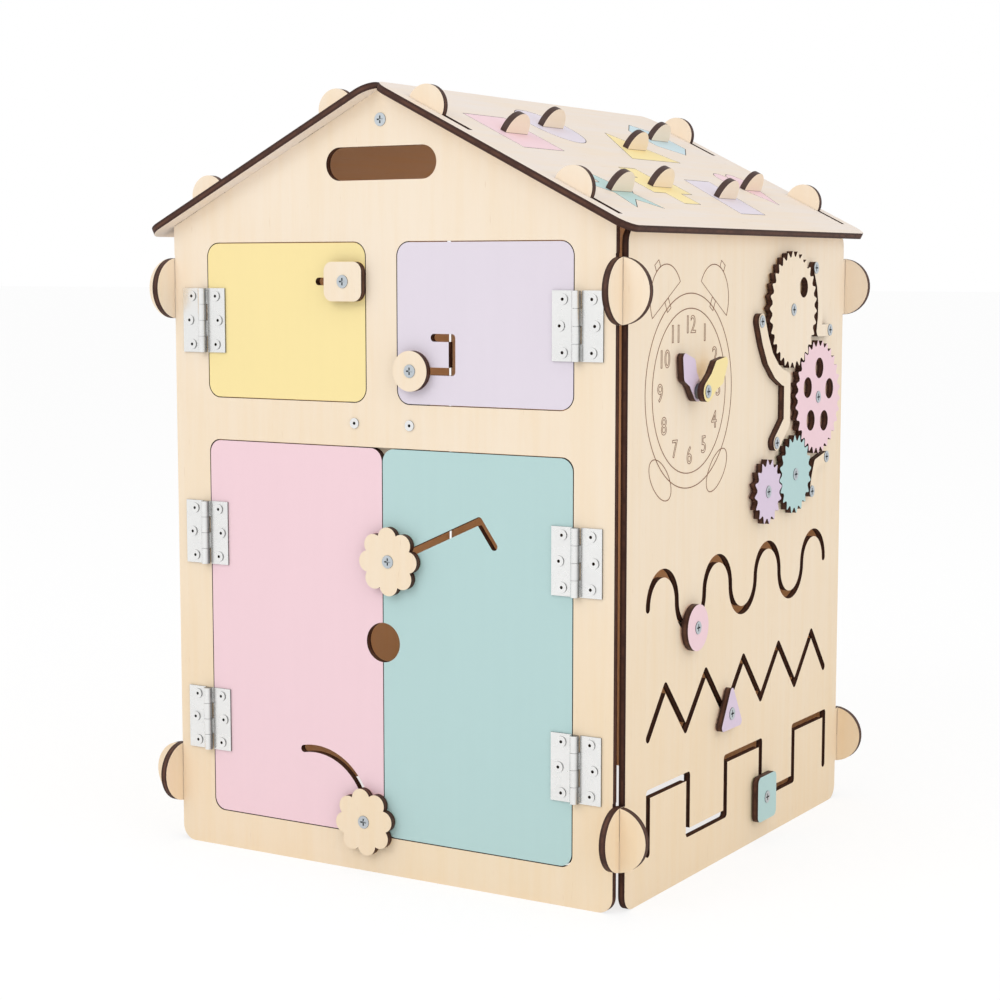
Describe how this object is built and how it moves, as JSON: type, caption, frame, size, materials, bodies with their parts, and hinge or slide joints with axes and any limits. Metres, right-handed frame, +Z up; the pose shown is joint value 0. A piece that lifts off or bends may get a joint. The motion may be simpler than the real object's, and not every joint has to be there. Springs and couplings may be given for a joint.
{
  "type": "wooden busy board",
  "caption": "Play house of laser-cut plywood with latched windows and doors, clock hands, meshing gears, maze slots with sliding knobs and lift-out roof shapes",
  "frame": {"origin": "centre of the footprint at floor level", "axes": "+Z up, -Y the gable wall with windows and doors, +X the wall with clock, gears and maze slots"},
  "size_m": [0.34, 0.3434, 0.4536],
  "materials": {
    "birch": "laser-cut birch plywood, unpainted, dark cut edges",
    "yellow_paint": "matt yellow painted plywood",
    "lavender_paint": "matt lavender painted plywood",
    "pink_paint": "matt pink painted plywood",
    "mint_paint": "matt mint painted plywood",
    "blue_paint": "matt pale blue painted plywood",
    "zinc": "bright zinc-plated steel"
  },
  "bodies": {
    "house": {"front_wall": "birch", "back_wall": "birch", "left_wall": "birch", "right_wall": "birch", "left_roof": "birch", "right_roof": "birch", "roof_backing": "birch", "inner_door_stop": "birch", "stop_rivets": "zinc", "gable_screw": "zinc", "frame_hinge_leaves": "zinc", "hinge_pins": "zinc", "frame_hinge_rivets": "zinc", "clock_screw": "zinc", "wall_screws": "zinc", "wall_nuts": "zinc", "wall_spacers": "zinc", "upper_gear_guard": "birch", "long_gear_guard": "birch", "lower_gear_guard": "birch"},
    "yellow_window_leaf": {"yellow_window": "yellow_paint", "yellow_window_hinge_leaves": "zinc", "yellow_window_hinge_rivets": "zinc"},
    "lavender_window_leaf": {"lavender_window": "lavender_paint", "lavender_window_hinge_leaves": "zinc", "lavender_window_hinge_rivets": "zinc"},
    "mint_door_leaf": {"mint_door": "mint_paint", "mint_door_hinge_leaves": "zinc", "mint_door_hinge_rivets": "zinc"},
    "pink_door_leaf": {"pink_door": "pink_paint", "pink_door_hinge_leaves": "zinc", "pink_door_hinge_rivets": "zinc"},
    "square_latch": {"square_latch_knob": "birch", "square_latch_screw": "zinc"},
    "round_latch": {"round_latch_knob": "birch", "round_latch_screw": "zinc"},
    "upper_flower": {"upper_flower_latch": "birch", "upper_flower_screw": "zinc"},
    "lower_flower": {"lower_flower_latch": "birch", "lower_flower_screw": "zinc"},
    "lavender_hand_body": {"lavender_hand": "lavender_paint"},
    "yellow_hand_body": {"yellow_hand": "yellow_paint"},
    "cream_gear_body": {"cream_gear": "birch"},
    "pink_gear_body": {"pink_gear": "pink_paint"},
    "mint_gear_body": {"mint_gear": "mint_paint"},
    "lavender_gear_body": {"lavender_gear": "lavender_paint"},
    "round_maze_knob_body": {"round_maze_knob": "pink_paint", "round_maze_knob_screw": "zinc"},
    "triangle_maze_knob_body": {"triangle_maze_knob": "lavender_paint", "triangle_maze_knob_screw": "zinc"},
    "square_maze_knob_body": {"square_maze_knob": "mint_paint", "square_maze_knob_screw": "zinc"},
    "pink_square_body": {"pink_square_piece": "pink_paint"},
    "lavender_circle_body": {"lavender_circle_piece": "lavender_paint"},
    "yellow_triangle_body": {"yellow_triangle_piece": "yellow_paint"},
    "blue_hexagon_body": {"blue_hexagon_piece": "blue_paint"},
    "mint_star_body": {"mint_star_piece": "mint_paint"},
    "yellow_plus_body": {"yellow_plus_piece": "yellow_paint"},
    "lavender_slant_body": {"lavender_slant_piece": "lavender_paint"},
    "pink_heart_body": {"pink_heart_piece": "pink_paint"}
  },
  "joints": [
    {"name": "yellow_window_hinge", "type": "hinge", "parent": "house", "child": "yellow_window_leaf", "pos_m": [-0.1273, -0.15835, 0.3195], "axis": [0, 0, -1], "range_deg": [0, 140]},
    {"name": "lavender_window_hinge", "type": "hinge", "parent": "house", "child": "lavender_window_leaf", "pos_m": [0.1273, -0.15835, 0.3195], "axis": [0, 0, 1], "range_deg": [0, 140]},
    {"name": "mint_door_hinge", "type": "hinge", "parent": "house", "child": "mint_door_leaf", "pos_m": [0.1273, -0.15835, 0.1354], "axis": [0, 0, 1], "range_deg": [0, 140]},
    {"name": "pink_door_hinge", "type": "hinge", "parent": "house", "child": "pink_door_leaf", "pos_m": [-0.1273, -0.15835, 0.1354], "axis": [0, 0, -1], "range_deg": [0, 140]},
    {"name": "square_latch_slide", "type": "slide", "parent": "yellow_window_leaf", "child": "square_latch", "axis": [1, 0, 0], "range_m": [-0.02, 0.006]},
    {"name": "round_latch_slide", "type": "slide", "parent": "lavender_window_leaf", "child": "round_latch", "axis": [1, 0, 0], "range_m": [-0.006, 0.025]},
    {"name": "upper_flower_slide", "type": "slide", "parent": "mint_door_leaf", "child": "upper_flower", "axis": [0.9098, 0, 0.415], "range_m": [0, 0.0635]},
    {"name": "lower_flower_swing", "type": "hinge", "parent": "pink_door_leaf", "child": "lower_flower", "pos_m": [-0.0493, -0.15575, 0.0304], "axis": [0, -1, 0], "range_deg": [0, 102]},
    {"name": "lavender_hand_turn", "type": "hinge", "parent": "house", "child": "lavender_hand_body", "pos_m": [0.154, -0.07475, 0.2817], "axis": [1, 0, 0], "continuous": true},
    {"name": "yellow_hand_turn", "type": "hinge", "parent": "house", "child": "yellow_hand_body", "pos_m": [0.154, -0.07475, 0.2817], "axis": [1, 0, 0], "continuous": true},
    {"name": "cream_gear_turn", "type": "hinge", "parent": "house", "child": "cream_gear_body", "pos_m": [0.154, 0.05825, 0.325], "axis": [1, 0, 0], "continuous": true},
    {"name": "pink_gear_turn", "type": "hinge", "parent": "house", "child": "pink_gear_body", "pos_m": [0.154, 0.09873, 0.26949], "axis": [1, 0, 0], "continuous": true},
    {"name": "mint_gear_turn", "type": "hinge", "parent": "house", "child": "mint_gear_body", "pos_m": [0.154, 0.06481, 0.22331], "axis": [1, 0, 0], "continuous": true},
    {"name": "lavender_gear_turn", "type": "hinge", "parent": "house", "child": "lavender_gear_body", "pos_m": [0.154, 0.02412, 0.21599], "axis": [1, 0, 0], "continuous": true},
    {"name": "round_knob_swing", "type": "hinge", "parent": "house", "child": "round_maze_knob_body", "pos_m": [0.154, -0.07097, 0.1645], "axis": [1, 0, 0], "range_deg": [-88, 88]},
    {"name": "triangle_knob_slide", "type": "slide", "parent": "house", "child": "triangle_maze_knob_body", "axis": [0, 0.6661, 0.7458], "range_m": [0, 0.0385]},
    {"name": "square_knob_slide", "type": "slide", "parent": "house", "child": "square_maze_knob_body", "axis": [0, 1, 0], "range_m": [0, 0.05]},
    {"name": "pink_square_lift", "type": "slide", "parent": "house", "child": "pink_square_body", "axis": [0.4472, 0, 0.8944], "range_m": [0, 0.04]},
    {"name": "lavender_circle_lift", "type": "slide", "parent": "house", "child": "lavender_circle_body", "axis": [0.4472, 0, 0.8944], "range_m": [0, 0.04]},
    {"name": "yellow_triangle_lift", "type": "slide", "parent": "house", "child": "yellow_triangle_body", "axis": [0.4472, 0, 0.8944], "range_m": [0, 0.04]},
    {"name": "blue_hexagon_lift", "type": "slide", "parent": "house", "child": "blue_hexagon_body", "axis": [0.4472, 0, 0.8944], "range_m": [0, 0.04]},
    {"name": "mint_star_lift", "type": "slide", "parent": "house", "child": "mint_star_body", "axis": [0.4472, 0, 0.8944], "range_m": [0, 0.04]},
    {"name": "yellow_plus_lift", "type": "slide", "parent": "house", "child": "yellow_plus_body", "axis": [0.4472, 0, 0.8944], "range_m": [0, 0.04]},
    {"name": "lavender_slant_lift", "type": "slide", "parent": "house", "child": "lavender_slant_body", "axis": [0.4472, 0, 0.8944], "range_m": [0, 0.04]},
    {"name": "pink_heart_lift", "type": "slide", "parent": "house", "child": "pink_heart_body", "axis": [0.4472, 0, 0.8944], "range_m": [0, 0.04]}
  ],
  "couplings": [
    {"joint": "pink_door_hinge", "follows": "mint_door_hinge", "ratio": 1},
    {"joint": "pink_gear_turn", "follows": "cream_gear_turn", "ratio": -1},
    {"joint": "mint_gear_turn", "follows": "cream_gear_turn", "ratio": 1.5},
    {"joint": "lavender_gear_turn", "follows": "cream_gear_turn", "ratio": -1.875}
  ]
}
